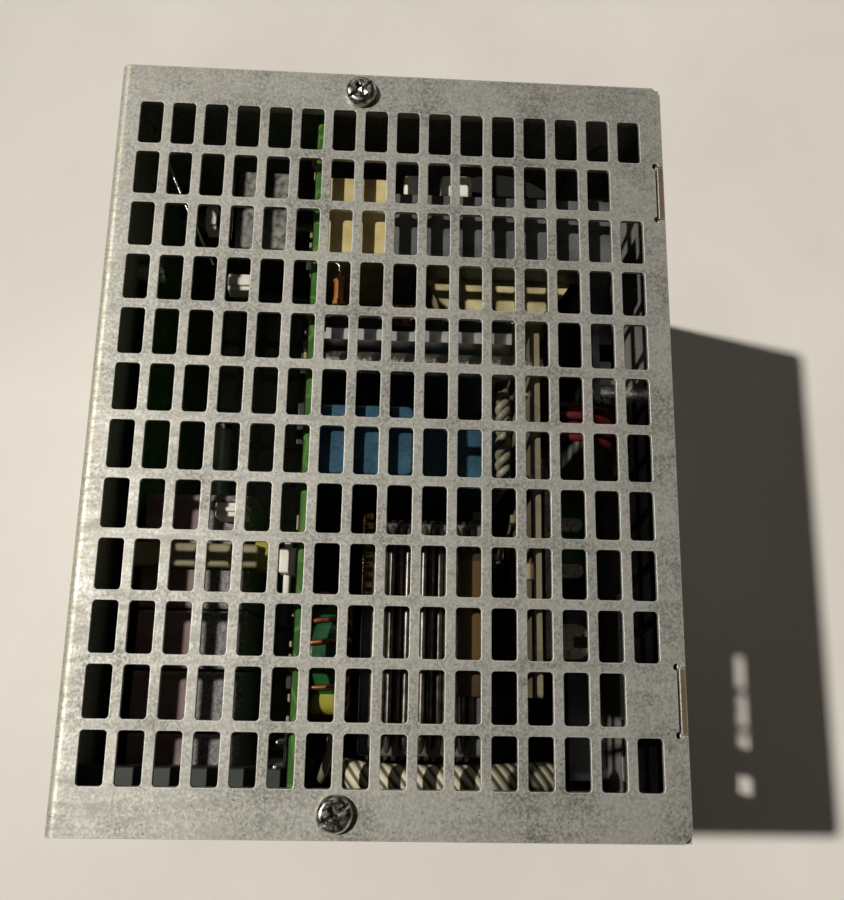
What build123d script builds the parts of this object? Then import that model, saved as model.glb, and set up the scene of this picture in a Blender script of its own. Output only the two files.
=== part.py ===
from build123d import *
import os

os.makedirs("parts", exist_ok=True)

# A metal-cased power supply for a 35 mm mounting rail.
# X runs along the rail, Y from the front panel to the rail, Z up.
# The origin is the centre of the rail's front face, where the case's rear plate rests on it.

# ---- Driving dimensions (mm) ----
case_width = 160.0
case_height = 125.0
case_depth = 120.0          # covers' rear lip to the front panel's face
cover_sheet = 1.0           # perforated covers
body_sheet = 1.2            # chassis
panel_sheet = 1.3           # front panel
board_thickness = 1.6

half_width = case_width / 2
half_height = case_height / 2
front_face = cover_sheet - case_depth           # outer face of the front panel
panel_back = front_face + panel_sheet
chassis_half_height = half_height - cover_sheet
clearance = 0.2

# Perforation of the covers
hole_columns = 16           # across the depth
hole_rows = 12              # across the width
column_pitch = 7.0
row_pitch = 12.0
hole_width = 5.0            # along Y
hole_length = 10.0          # along X
hole_corner = 0.75
grille_centre_y = (front_face + cover_sheet) / 2
notch_x = 54.0              # tabs of the front panel pass the covers here
tab_width = 12.4
notch_width = 12.8
notch_depth = 1.75
relief_radius = 0.7
lip_height = 11.0
cover_bend = 2.0            # outer radius of the rear bend
corner_cut = 1.7

# Cover screws (M3.5)
cover_screw_x = 75.3
cover_screw_y = -51.8
m35_radius = 1.7
m35_hole = 1.95
m35_thread = 1.75
pan_head_radius = 3.5
pan_head_height = 2.1
cover_screw_length = 8.0
flat_head_radius = 2.8
flat_head_height = 1.1

# Chassis flanges that carry the covers
flange_inner_x = 71.0
flange_rear_y = -8.0
flange_front_y = -103.0
thread_boss_radius = 3.0
thread_boss_height = 2.4

# M3 hardware
m3_radius = 1.5
m3_tapped = 1.55
m3_clear = 1.65
m3_head_radius = 2.8
m3_head_height = 1.8

# Rivets that join the front panel's side flanges to the chassis
rivet_y = front_face + 8.0
rivet_z = 40.0
rivet_radius = 1.6
rivet_head_radius = 2.6
rivet_head_height = 0.9
panel_flange = 14.0

# Rail clip
rail_half_height = 17.5
hook_tip_z = 14.2
hook_top_z = 31.0
hook_half_width = 28.0
hook_thickness = 3.6
hook_gap = 1.4
hook_screw_x = 20.0
hook_screw_z = 25.0
latch_half_width = 13.4
latch_back_y = 5.3
latch_front_y = 0.2
latch_tip_z = -14.5
latch_bottom_z = -57.0
latch_step_z = -rail_half_height - 0.8
latch_foot_z = -46.4        # below it the latch clears the bottom cover's lip
pocket_half_width = 2.6
pocket_top_z = -30.0
guide_tab_z = -46.0
guide_tab_thickness = 1.2
guide_sheet = 1.2
guide_top_z = -24.0
guide_bottom_z = -48.0
guide_inner_half_width = 13.8
guide_inner_y = 5.6
guide_foot_half_width = 26.0
guide_screw_x = 20.5
guide_screws_z = (-28.0, -44.0)
spring_wire = 0.5
spring_radius = 1.7
spring_turns = 7
spring_y = 2.8

# Terminals: one cell per pole, along Y from the block's face
terminal_pitch = 10.0
terminal_face = front_face - 12.0
terminal_back = front_face + 11.0
terminal_above = 10.0       # block above the screw's axis
terminal_below = 12.0       # block below the screw's axis
terminal_side = 1.0
driver_hole_radius = 2.8
lip_front = terminal_face + 2.3
lip_back = terminal_face + 2.8
lip_radius = 1.8
cavity_half = 3.9
cavity_back = front_face + 0.8
cage_half_width = 3.5
cage_half_height = 3.4
cage_front = front_face - 7.0
cage_front_wall = 1.4
cage_side_wall = 0.8
cage_back = front_face + 0.4
cage_back_wall = 1.0
bar_front = front_face - 4.4
bar_thickness = 1.0
bar_half_width = 2.5
bar_inner_end = terminal_back + 4.0
bar_top = 6.0               # above the screw's axis
entry_half_width = 1.9
entry_front = bar_front + bar_thickness + 0.1
entry_back = cage_back - cage_back_wall - 0.1
terminal_head_radius = 2.5
terminal_head_height = 1.95
terminal_screw_end = bar_front - 0.05
dc_poles = 4
dc_first_x = -69.0
dc_axis_z = -9.0
ac_poles = 3
ac_first_x = 30.0
ac_axis_z = -41.0

# Pluggable signal connector
plug_x = -11.0
plug_z = -17.0
plug_poles = 4
plug_pitch = 3.81
header_half_width = 9.0
header_half_height = 5.5
header_front = front_face - 0.6
header_back = front_face + 12.0
socket_half_width = 7.9
socket_half_height = 4.2
socket_back = front_face + 9.4
pin_side = 1.0
pin_end = front_face + 2.0
plug_front = front_face - 12.0
plug_shoulder = front_face - 0.9
plug_nose_end = socket_back - 0.4

# Display board with trimmer, mode sliders and light pipes
display_front = front_face + 8.4
display_x = (14.0, 70.0)
display_z = (10.0, 34.0)
trimmer_x = 22.0
control_z = 22.0
trimmer_side = 10.0
trimmer_body_front = display_front - 4.5
rotor_radius = 1.9
rotor_bore = 2.0
slider_xs = (38.0, 48.0)
slider_side = 3.0
slider_travel = 2.0
switch_body_front = display_front - 5.0
light_x = 62.0
light_zs = (16.0, 22.0, 28.0)
light_radius = 1.5

# Air slots of the front panel
slot_z = (16.5, 24.5)
slot_spans = ((-59.0, -30.0), (-73.0, -68.0))

# Openings of the front panel, as (x span, z span) and (x, z, radius)
terminal_reach = terminal_pitch / 2 + terminal_side
dc_x = (dc_first_x - terminal_reach, dc_first_x + (dc_poles - 1) * terminal_pitch + terminal_reach)
dc_z = (dc_axis_z - terminal_below, dc_axis_z + terminal_above)
ac_x = (ac_first_x - terminal_reach, ac_first_x + (ac_poles - 1) * terminal_pitch + terminal_reach)
ac_z = (ac_axis_z - terminal_below, ac_axis_z + terminal_above)
header_x = (plug_x - header_half_width, plug_x + header_half_width)
header_z = (plug_z - header_half_height, plug_z + header_half_height)
slider_x_spans = [(x - slider_side / 2 - 0.3, x + slider_side / 2 + 0.3) for x in slider_xs]
slider_slot_z = (control_z - slider_side, control_z + slider_side)
panel_slots = [(dc_x, dc_z), (ac_x, ac_z), (header_x, header_z)]
panel_slots += [(span, slot_z) for span in slot_spans]
panel_slots += [(span, slider_slot_z) for span in slider_x_spans]
panel_holes = [(trimmer_x, control_z, rotor_radius + 0.5)]
panel_holes += [(light_x, z, light_radius + 0.1) for z in light_zs]

# Boards
main_board_back = -42.2
main_board_front = main_board_back - board_thickness
filter_board_back = -4.0
filter_board_front = filter_board_back - board_thickness
control_board_back = -90.0
control_board_front = control_board_back - board_thickness
main_posts = ((72.0, 3.0), (-72.0, 3.0), (72.0, -50.0), (-72.0, -50.0))
control_posts = ((16.0, 52.0), (16.0, -12.0), (-48.0, -12.0))
filter_posts = ((-74.0, -38.0), (40.0, -38.0), (-60.0, 4.0), (40.0, 40.0))
display_posts = ((17.0, 13.0), (67.0, 13.0), (17.0, 31.0), (67.0, 31.0))
post_across_flats = 5.0
foil_thickness = 0.2        # printed film on the front panel

# Box film capacitors in a row along X
film_count = 5
film_first_x = -18.3
film_pitch = 12.6
film_width = 12.2
film_y = (-31.0, -8.0)
film_top_z = 42.5
film_height = 32.0

# Main transformer: a core of two E-shaped halves with a round middle leg
core_x = 46.0
core_y = -84.0
core_top_z = 57.0
core_length = 49.0          # along Y
core_width = 16.4           # along X
core_half_height = 24.7
core_yoke = 8.2
core_leg = 5.0
core_leg_radius = 8.1
winding_radius = 17.6
winding_flange = 1.0        # the bobbin's flanges stand out this far
flange_thickness = 1.2
winding_slack = 0.2         # between the winding and the core

# Input choke: a square ring with a winding on each upright leg
choke_x = (-52.0, -14.0)
choke_y = (-28.0, -12.0)
choke_z = (-39.0, -9.0)
choke_leg = 7.0
choke_build = 2.5           # thickness of the windings
choke_winding_gap = 2.0     # between the windings and the cross legs

# Other parts on the filter board
fuse_x = 8.0
fuse_z = -22.0
fuse_radius = 3.2
fuse_length = 32.0
fuse_standoff = 6.0
spacer_x = (-72.0, -68.0)
spacer_z = (50.5, 56.0)

# Parts in front of the main board
blue_x = (-10.3, 4.4)
blue_depth = 20.6
blue_height = 29.5
blue_places = ((-65.2, 30.0), (-87.0, 18.0))    # front and bottom of each
aux_x = (38.9, 56.6)
aux_front = -58.6
aux_z = (26.0, 58.5)
power_choke_x = (-67.0, -18.0)
power_choke_y = (-81.0, -55.5)
power_choke_z = (22.0, 57.0)
ring_place = (-46.0, -48.5, 42.5)
ring_outer_radius = 12.5
ring_inner_radius = 6.5
ring_thickness = 8.0
can_xs = (-58.0, -24.0, 10.0)
can_z = -34.0
can_front = -86.5
can_radius = 15.0
can_groove = (-5.0, -3.5)   # rolled groove, from the can's rear end
can_groove_depth = 0.8

# Shield beside the transformer, with a folded top and foot
shield_x = (19.6, 21.1)
shield_front = -86.0
shield_wall_z = (6.0, 57.0)
shield_top_rear = -46.0
shield_top_x = 25.2
shield_foot_x = 28.0
shield_foot_z = (10.0, 50.0)
shield_sheet = 1.5
shield_notch_x = (23.0, 28.0)
shield_notch_y = (-66.0, -60.0)

# Heat sink and the transistors on it
sink_x = (30.0, 76.0)
sink_y = (-98.0, -48.0)
sink_base_z = (-6.0, -2.0)
sink_bottom_z = -48.0
fin_count = 8
fin_first_x = 31.0
fin_pitch = 6.2
fin_thickness = 1.6
transistor_place = (47.5, -73.0)
transistor_pitch = (17.5, 24.0)
transistor_size = (15.8, 20.8, 4.8)

# Output busbar with bent fingers and an open-ended ear
busbar_x = (-46.0, -9.0)
busbar_y = (-97.0, -95.5)
busbar_z = (0.0, 41.0)
finger_sheet = 1.5
finger_spans = ((-18.2, -15.2), (-28.4, -25.4))
finger_front = -104.0
finger_corner = 1.4
ear_x = (-46.0, -38.5)
ear_front = -105.0
ear_corner = 3.0
ear_slot_x = (-43.6, -41.2)
ear_slot_rear = -101.5
foot_spans = ((-40.0, -36.0), (-18.0, -14.0))
foot_z = (4.0, 9.0)


def save(piece, label):
    """Name a finished piece and write it as its own file."""
    piece.part.label = label
    export_step(piece.part, f"parts/{label}.step")


def span_box(x, y, z, mode=Mode.ADD):
    """A box between a low and a high value along X, Y and Z."""
    spans = (x, y, z)
    centre = tuple((low + high) / 2 for low, high in spans)
    size = tuple(high - low for low, high in spans)
    with Locations(centre):
        Box(*size, mode=mode)


def rod_y(x, z, y, radius, mode=Mode.ADD):
    """A round rod along Y, between a low and a high Y."""
    low, high = y
    with Locations(Location((x, (low + high) / 2, z), (90, 0, 0))):
        Cylinder(radius, high - low, mode=mode)


def cut_panel_openings(grow, y):
    """Cut the front panel's openings, grown by a margin, through the piece being built."""
    for x, z in panel_slots:
        span_box((x[0] - grow, x[1] + grow), y, (z[0] - grow, z[1] + grow), Mode.SUBTRACT)
    for x, z, radius in panel_holes:
        rod_y(x, z, y, radius + grow, Mode.SUBTRACT)


def pan_screw(radius, length, head_radius, head_height):
    """A pan-head screw with a slot and a cross in its head, which rests at Z = 0 and faces up."""
    with BuildPart() as screw:
        Cylinder(head_radius, head_height, align=(Align.CENTER, Align.CENTER, Align.MIN))
        fillet(screw.edges().sort_by(Axis.Z)[-1], 0.6 * head_height)
        with Locations((0, 0, -length / 2)):
            Cylinder(radius, length)
        with BuildSketch(Plane.XY.offset(head_height)):
            Rectangle(2 * head_radius, 0.24 * head_radius)
        extrude(amount=-0.4 * head_height, mode=Mode.SUBTRACT)
        with BuildSketch(Plane.XY.offset(head_height)):
            Rectangle(head_radius, 0.3 * head_radius)
            Rectangle(0.3 * head_radius, head_radius)
        extrude(amount=-0.7 * head_height, mode=Mode.SUBTRACT)
    return screw


# ---- Sheet-metal case ----
with BuildPart() as chassis:
    with BuildSketch(Plane.XY.offset(-chassis_half_height)):
        with BuildLine():
            inner_x = half_width - body_sheet
            FilletPolyline(
                (-half_width, front_face), (-half_width, 0), (half_width, 0), (half_width, front_face),
                radius=cover_bend,
            )
            Line((half_width, front_face), (inner_x, front_face))
            FilletPolyline(
                (inner_x, front_face), (inner_x, -body_sheet), (-inner_x, -body_sheet), (-inner_x, front_face),
                radius=cover_bend - body_sheet,
            )
            Line((-inner_x, front_face), (-half_width, front_face))
        make_face()
    extrude(amount=2 * chassis_half_height)
    # The rear plate stops short of the covers' bends.
    for side in (-1, 1):
        edge = sorted((side * chassis_half_height, side * (chassis_half_height - body_sheet)))
        span_box((-half_width - 1, half_width + 1), (-cover_bend, 1), edge, Mode.SUBTRACT)
    # Inward flanges, each with an extruded and tapped boss for a cover screw.
    for side_z in (-1, 1):
        flange_z = sorted((side_z * chassis_half_height, side_z * (chassis_half_height - body_sheet)))
        boss_z = side_z * (chassis_half_height - body_sheet - thread_boss_height / 2)
        for side_x in (-1, 1):
            flange_x = sorted((side_x * flange_inner_x, side_x * half_width))
            span_box(flange_x, (flange_front_y, flange_rear_y), flange_z)
            with Locations((side_x * cover_screw_x, cover_screw_y, boss_z)):
                Cylinder(thread_boss_radius, thread_boss_height)
            with Locations((side_x * cover_screw_x, cover_screw_y, side_z * chassis_half_height)):
                Cylinder(m35_hole, 2 * body_sheet, mode=Mode.SUBTRACT)
            with Locations((side_x * cover_screw_x, cover_screw_y, boss_z)):
                Cylinder(m35_thread, 3 * thread_boss_height, mode=Mode.SUBTRACT)
    # Rivet holes in the side walls and screw holes for the rail clip.
    with BuildSketch(Plane.YZ.offset(-half_width)):
        with Locations((rivet_y, rivet_z), (rivet_y, -rivet_z)):
            Circle(rivet_radius + 0.05)
    extrude(amount=case_width, mode=Mode.SUBTRACT)
    for x in (-hook_screw_x, hook_screw_x):
        rod_y(x, hook_screw_z, (-2 * body_sheet, body_sheet), m3_tapped, Mode.SUBTRACT)
    for x in (-guide_screw_x, guide_screw_x):
        for z in guide_screws_z:
            rod_y(x, z, (-2 * body_sheet, body_sheet), m3_tapped, Mode.SUBTRACT)
save(chassis, "chassis")


# Both covers have the same openings: holes, notches for the panel's tabs with round reliefs in their
# corners, and screw holes. The two holes beside the notches are left out.
with BuildSketch() as cover_openings:
    with Locations((0, grille_centre_y)):
        with GridLocations(row_pitch, column_pitch, hole_rows, hole_columns) as grid:
            wanted = [
                place for place in grid.locations
                if place.position.Y - front_face > 1.5 * column_pitch
                or abs(abs(place.position.X) - notch_x) > row_pitch / 2
            ]
    with Locations(*wanted):
        RectangleRounded(hole_length, hole_width, hole_corner)
    for x in (-notch_x, notch_x):
        with Locations((x, front_face)):
            Rectangle(notch_width, 2 * notch_depth)
        with Locations(
            (x - notch_width / 2, front_face + notch_depth), (x + notch_width / 2, front_face + notch_depth)
        ):
            Circle(relief_radius)
    with Locations((-cover_screw_x, cover_screw_y), (cover_screw_x, cover_screw_y)):
        Circle(m35_hole)

with BuildPart() as bent_sheet:
    span_box((-half_width, half_width), (front_face, cover_sheet), (chassis_half_height, half_height))
    span_box((-half_width, half_width), (0, cover_sheet), (half_height - lip_height, half_height))
    bend_edges = bent_sheet.edges().filter_by(Axis.X)
    fillet(bend_edges.sort_by_distance((0, cover_sheet, half_height))[0], cover_bend)
    bend_edges = bent_sheet.edges().filter_by(Axis.X)
    fillet(bend_edges.sort_by_distance((0, 0, chassis_half_height))[0], cover_bend - cover_sheet)
    chamfer(bent_sheet.edges().filter_by(Axis.Z).group_by(Axis.Y)[0], corner_cut)

with BuildPart() as top_grille_cover:
    add(bent_sheet.part)
    extrude(cover_openings.sketch, amount=case_height, mode=Mode.SUBTRACT)
save(top_grille_cover, "top_grille_cover")

with BuildPart() as bottom_grille_cover:
    mirror(bent_sheet.part, about=Plane.XY)
    for x in (-cover_screw_x, cover_screw_x):
        with Locations((x, cover_screw_y, -half_height)):
            Cone(
                flat_head_radius + 0.05, m35_radius + 0.05, flat_head_height,
                align=(Align.CENTER, Align.CENTER, Align.MIN), mode=Mode.SUBTRACT,
            )
    extrude(cover_openings.sketch, amount=-case_height, mode=Mode.SUBTRACT)
save(bottom_grille_cover, "bottom_grille_cover")

with BuildPart() as front_panel:
    panel_half_width = half_width - body_sheet - clearance
    with BuildSketch(Plane.XY.offset(-chassis_half_height + 0.1)):
        with BuildLine():
            panel_inner = panel_half_width - panel_sheet
            flange_end = front_face + panel_flange
            FilletPolyline(
                (-panel_half_width, flange_end), (-panel_half_width, front_face),
                (panel_half_width, front_face), (panel_half_width, flange_end),
                radius=cover_bend,
            )
            Line((panel_half_width, flange_end), (panel_inner, flange_end))
            FilletPolyline(
                (panel_inner, flange_end), (panel_inner, panel_back),
                (-panel_inner, panel_back), (-panel_inner, flange_end),
                radius=cover_bend - panel_sheet,
            )
            Line((-panel_inner, flange_end), (-panel_half_width, flange_end))
        make_face()
    extrude(amount=2 * chassis_half_height - 0.2)
    for x in (-notch_x, notch_x):
        span_box(
            (x - tab_width / 2, x + tab_width / 2), (front_face, panel_back), (-half_height, half_height)
        )
    cut_panel_openings(clearance, (front_face - 1, panel_back + 1))
    with BuildSketch(Plane.YZ.offset(-half_width)):
        with Locations((rivet_y, rivet_z), (rivet_y, -rivet_z)):
            Circle(rivet_radius + 0.05)
    extrude(amount=case_width, mode=Mode.SUBTRACT)
save(front_panel, "front_panel")

with BuildPart() as front_foil:
    with BuildSketch(Plane.XZ.offset(-front_face)):
        RectangleRounded(152.0, 116.0, 2.0)
    extrude(amount=foil_thickness)
    cut_panel_openings(0.6, (front_face - 1, front_face + 1))
save(front_foil, "front_foil")

# ---- Cover screws and rivets ----
cover_screw = pan_screw(m35_radius, cover_screw_length, pan_head_radius, pan_head_height)
with BuildPart() as cover_screws:
    for x, turn in ((-cover_screw_x, -55.0), (cover_screw_x, -52.0)):
        with Locations(Location((x, cover_screw_y, half_height), (0, 0, turn))):
            add(cover_screw.part)
save(cover_screws, "cover_screws")

with BuildPart() as base_screws:
    for x in (-cover_screw_x, cover_screw_x):
        with Locations(Location((x, cover_screw_y, -half_height))):
            Cone(flat_head_radius, m35_radius, flat_head_height, align=(Align.CENTER, Align.CENTER, Align.MIN))
            Cylinder(m35_radius, cover_screw_length, align=(Align.CENTER, Align.CENTER, Align.MIN))
    with BuildSketch(Plane.XY.offset(-half_height)):
        with Locations((-cover_screw_x, cover_screw_y), (cover_screw_x, cover_screw_y)):
            Rectangle(flat_head_radius, 0.8)
            Rectangle(0.8, flat_head_radius)
    extrude(amount=flat_head_height, mode=Mode.SUBTRACT)
save(base_screws, "base_screws")

with BuildPart() as rivet:
    grip = body_sheet + clearance + panel_sheet
    Cylinder(rivet_head_radius, rivet_head_height, align=(Align.CENTER, Align.CENTER, Align.MIN))
    fillet(rivet.edges().sort_by(Axis.Z)[-1], 0.7 * rivet_head_height)
    with Locations((0, 0, -grip / 2)):
        Cylinder(rivet_radius, grip)
    with Locations((0, 0, -grip - 0.6)):
        Cylinder(rivet_radius + 0.6, 1.2)

with BuildPart() as side_rivets:
    for side in (-1, 1):
        for z in (-rivet_z, rivet_z):
            with Locations(Location((side * half_width, rivet_y, z), (0, side * 90, 0))):
                add(rivet.part)
save(side_rivets, "side_rivets")

# ---- Rail clip ----
with BuildPart() as rail_hook:
    with BuildSketch(Plane.YZ.offset(-hook_half_width)):
        with BuildLine():
            slot_top = rail_half_height + 0.8
            Polyline(
                (0, slot_top), (0, hook_top_z), (hook_thickness, hook_top_z), (hook_thickness, hook_tip_z + 1.2),
                (hook_thickness - 1.2, hook_tip_z), (hook_gap, hook_tip_z), (hook_gap, slot_top), close=True,
            )
        make_face()
    extrude(amount=2 * hook_half_width)
    for x in (-hook_screw_x, hook_screw_x):
        rod_y(x, hook_screw_z, (-1, hook_thickness + 1), m3_clear, Mode.SUBTRACT)
save(rail_hook, "rail_hook")

with BuildPart() as latch_guide:
    guide_back_y = guide_inner_y + guide_sheet
    guide_outer = guide_inner_half_width + guide_sheet
    with BuildSketch(Plane.XY.offset(guide_bottom_z)):
        with BuildLine():
            Polyline(
                (-guide_foot_half_width, 0), (-guide_foot_half_width, guide_sheet), (-guide_outer, guide_sheet),
                (-guide_outer, guide_back_y), (guide_outer, guide_back_y), (guide_outer, guide_sheet),
                (guide_foot_half_width, guide_sheet), (guide_foot_half_width, 0), (guide_inner_half_width, 0),
                (guide_inner_half_width, guide_inner_y), (-guide_inner_half_width, guide_inner_y),
                (-guide_inner_half_width, 0), close=True,
            )
        make_face()
    extrude(amount=guide_top_z - guide_bottom_z)
    # A tab bent inwards holds the spring's lower end.
    span_box((-2.2, 2.2), (0.6, guide_inner_y + 0.3), (guide_tab_z, guide_tab_z + guide_tab_thickness))
    for x in (-guide_screw_x, guide_screw_x):
        for z in guide_screws_z:
            rod_y(x, z, (-1, 2 * guide_sheet), m3_clear, Mode.SUBTRACT)
save(latch_guide, "latch_guide")

with BuildPart() as din_latch:
    with BuildSketch(Plane.YZ.offset(-latch_half_width)):
        with BuildLine():
            tip_front = hook_gap + 0.1
            foot_front = cover_sheet + 0.3
            Polyline(
                (foot_front, latch_bottom_z), (latch_back_y, latch_bottom_z), (latch_back_y, latch_step_z),
                (tip_front + 1.1, latch_tip_z), (tip_front, latch_tip_z), (tip_front, latch_step_z),
                (latch_front_y, latch_step_z), (latch_front_y, latch_foot_z), (foot_front, latch_foot_z),
                close=True,
            )
        make_face()
    extrude(amount=2 * latch_half_width)
    span_box((-pocket_half_width, pocket_half_width), (0, 6), (guide_tab_z - 0.2, pocket_top_z), Mode.SUBTRACT)
    # Slot for a screwdriver's tip
    span_box((-4.0, 4.0), (0, 6), (latch_bottom_z + 2.2, latch_bottom_z + 4.7), Mode.SUBTRACT)
save(din_latch, "din_latch")

with BuildPart() as latch_spring:
    spring_low = guide_tab_z + guide_tab_thickness + spring_wire / 2 + 0.05
    spring_height = pocket_top_z - spring_wire / 2 - 0.05 - spring_low
    with BuildLine() as coil:
        Helix(spring_height / spring_turns, spring_height, spring_radius, center=(0, spring_y, spring_low))
    with BuildSketch(Plane(origin=coil.line @ 0, z_dir=coil.line % 0)):
        Circle(spring_wire / 2)
    sweep(is_frenet=True)
save(latch_spring, "latch_spring")

m3_screw = pan_screw(m3_radius, 5.0, m3_head_radius, m3_head_height)
rearward = (-90, 0, 0)
forward = (90, 0, 0)
with BuildPart() as clip_screws:
    for x in (-hook_screw_x, hook_screw_x):
        with Locations(Location((x, hook_thickness, hook_screw_z), rearward)):
            add(m3_screw.part)
    for x in (-guide_screw_x, guide_screw_x):
        for z in guide_screws_z:
            with Locations(Location((x, guide_sheet, z), rearward)):
                add(m3_screw.part)
save(clip_screws, "clip_screws")


# ---- Terminals ----
def terminal_block(first_x, poles, axis_z):
    """A moulded block with one cell per pole: screw hole, cage cavity, wire entry and bar slot."""
    xs = [first_x + pole * terminal_pitch for pole in range(poles)]
    with BuildPart() as body:
        span_box(
            (xs[0] - terminal_reach, xs[-1] + terminal_reach), (terminal_face, terminal_back),
            (axis_z - terminal_below, axis_z + terminal_above),
        )
        chamfer(body.faces().sort_by(Axis.Y)[0].edges(), 0.8)
        for x in xs:
            rod_y(x, axis_z, (terminal_face - 1, lip_front), driver_hole_radius, Mode.SUBTRACT)
            rod_y(x, axis_z, (lip_front - 1, lip_back + 1), lip_radius, Mode.SUBTRACT)
            span_box(
                (x - cavity_half, x + cavity_half), (lip_back, cavity_back),
                (axis_z - cavity_half, axis_z + cavity_half), Mode.SUBTRACT,
            )
            span_box(
                (x - entry_half_width, x + entry_half_width), (entry_front, entry_back),
                (axis_z - terminal_below - 1, axis_z), Mode.SUBTRACT,
            )
            span_box(
                (x - bar_half_width, x + bar_half_width), (bar_front, bar_front + bar_thickness),
                (axis_z, axis_z + bar_top), Mode.SUBTRACT,
            )
            span_box(
                (x - bar_half_width, x + bar_half_width), (bar_front, terminal_back + 1),
                (axis_z + bar_top - bar_thickness, axis_z + bar_top), Mode.SUBTRACT,
            )
    return body


def clamp_cage(x, axis_z):
    """An open steel loop whose tapped front wall climbs the screw and lifts the wire to the bar."""
    inner = cage_half_width - cage_side_wall
    with BuildPart() as cage:
        span_box(
            (x - cage_half_width, x + cage_half_width), (cage_front, cage_back),
            (axis_z - cage_half_height, axis_z + cage_half_height),
        )
        span_box(
            (x - inner, x + inner), (cage_front + cage_front_wall, cage_back - cage_back_wall),
            (axis_z - 2 * cage_half_height, axis_z + 2 * cage_half_height), Mode.SUBTRACT,
        )
        rod_y(x, axis_z, (cage_front - 1, cage_front + cage_front_wall + 1), m3_tapped, Mode.SUBTRACT)
    return cage


terminal_head_rest = lip_front - 0.05
terminal_screw = pan_screw(
    m3_radius, terminal_screw_end - terminal_head_rest, terminal_head_radius, terminal_head_height
)


def terminal_set(prefix, first_x, poles, axis_z):
    """Write one block with its screws and clamp cages."""
    save(terminal_block(first_x, poles, axis_z), f"{prefix}_terminal_block")
    for pole in range(poles):
        x = first_x + pole * terminal_pitch
        with BuildPart() as screw:
            with Locations(Location((x, terminal_head_rest, axis_z), forward)):
                add(terminal_screw.part)
        save(screw, f"{prefix}_screw_{pole + 1}")
        save(clamp_cage(x, axis_z), f"{prefix}_clamp_{pole + 1}")


terminal_set("dc", dc_first_x, dc_poles, dc_axis_z)
terminal_set("ac", ac_first_x, ac_poles, ac_axis_z)

# Bent bars carry the current from the clamps to the inside.
with BuildPart() as current_bars:
    for first_x, poles, axis_z in (
        (dc_first_x, dc_poles, dc_axis_z), (ac_first_x, ac_poles, ac_axis_z)
    ):
        for pole in range(poles):
            x = first_x + pole * terminal_pitch
            width = (x - bar_half_width, x + bar_half_width)
            top = axis_z + bar_top
            span_box(width, (bar_front, bar_front + bar_thickness), (axis_z - cage_half_height, top))
            span_box(width, (bar_front, bar_inner_end), (top - bar_thickness, top))
save(current_bars, "current_bars")

# ---- Signal connector ----
pin_xs = [plug_x + (pin - (plug_poles - 1) / 2) * plug_pitch for pin in range(plug_poles)]
with BuildPart() as signal_header:
    span_box(header_x, (header_front, header_back), header_z)
    span_box(
        (plug_x - socket_half_width, plug_x + socket_half_width), (header_front - 1, socket_back),
        (plug_z - socket_half_height, plug_z + socket_half_height), Mode.SUBTRACT,
    )
    for x in pin_xs:
        span_box(
            (x - pin_side / 2, x + pin_side / 2), (pin_end, socket_back + 1),
            (plug_z - pin_side / 2, plug_z + pin_side / 2),
        )
save(signal_header, "signal_header")

with BuildPart() as signal_plug:
    span_box(
        (plug_x - socket_half_width - 0.3, plug_x + socket_half_width + 0.3), (plug_front, plug_shoulder),
        (plug_z - socket_half_height - 0.6, plug_z + socket_half_height + 0.6),
    )
    chamfer(signal_plug.faces().sort_by(Axis.Y)[0].edges(), 0.6)
    span_box(
        (plug_x - socket_half_width + clearance, plug_x + socket_half_width - clearance),
        (plug_shoulder, plug_nose_end),
        (plug_z - socket_half_height + clearance, plug_z + socket_half_height - clearance),
    )
    for x in pin_xs:
        span_box(
            (x - pin_side / 2 - clearance, x + pin_side / 2 + clearance), (front_face, plug_nose_end + 1),
            (plug_z - pin_side / 2 - clearance, plug_z + pin_side / 2 + clearance), Mode.SUBTRACT,
        )
        # Wire entries at the front and screw holes on top
        rod_y(x, plug_z - 1.2, (plug_front - 1, plug_front + 6.0), 1.2, Mode.SUBTRACT)
        with Locations((x, plug_front + 5.0, plug_z + socket_half_height)):
            Cylinder(1.3, 2.4, mode=Mode.SUBTRACT)
save(signal_plug, "signal_plug")


# ---- Boards ----
def board(x, z, back, posts, passes=()):
    """A circuit board parallel to the front panel, with its screw holes and any wider holes."""
    with BuildPart() as piece:
        with BuildSketch(Plane.XZ.offset(-back)):
            with Locations(((x[0] + x[1]) / 2, (z[0] + z[1]) / 2)):
                RectangleRounded(x[1] - x[0], z[1] - z[0], 1.0)
            with Locations(*posts):
                Circle(m3_clear, mode=Mode.SUBTRACT)
            for place in passes:
                with Locations(place):
                    Circle(post_across_flats * 0.75, mode=Mode.SUBTRACT)
        extrude(amount=board_thickness)
    return piece


save(board((-77.5, 77.5), (-57.0, 57.6), main_board_back, main_posts + control_posts), "main_board")
save(
    board((-77.0, 44.0), (-42.0, 43.5), filter_board_back, filter_posts, passes=[main_posts[1]]),
    "filter_board",
)
save(board((-54.0, 22.0), (-16.0, 59.0), control_board_back, control_posts), "control_board")
save(board(display_x, display_z, display_front + board_thickness, display_posts), "display_board")


def posts_y(places, y):
    """Hexagonal spacers along Y, tapped from end to end."""
    length = y[1] - y[0]
    for x, z in places:
        with Locations(Location((x, (y[0] + y[1]) / 2, z), forward)):
            Cylinder(post_across_flats / 2, length)
            Cylinder(m3_tapped, length, mode=Mode.SUBTRACT)


with BuildPart() as board_spacers:
    posts_y(main_posts, (main_board_back, -body_sheet))
    posts_y(control_posts, (control_board_back, main_board_front))
    posts_y(filter_posts, (filter_board_back, -body_sheet))
    posts_y(display_posts, (panel_back, display_front))
save(board_spacers, "board_spacers")

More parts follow.
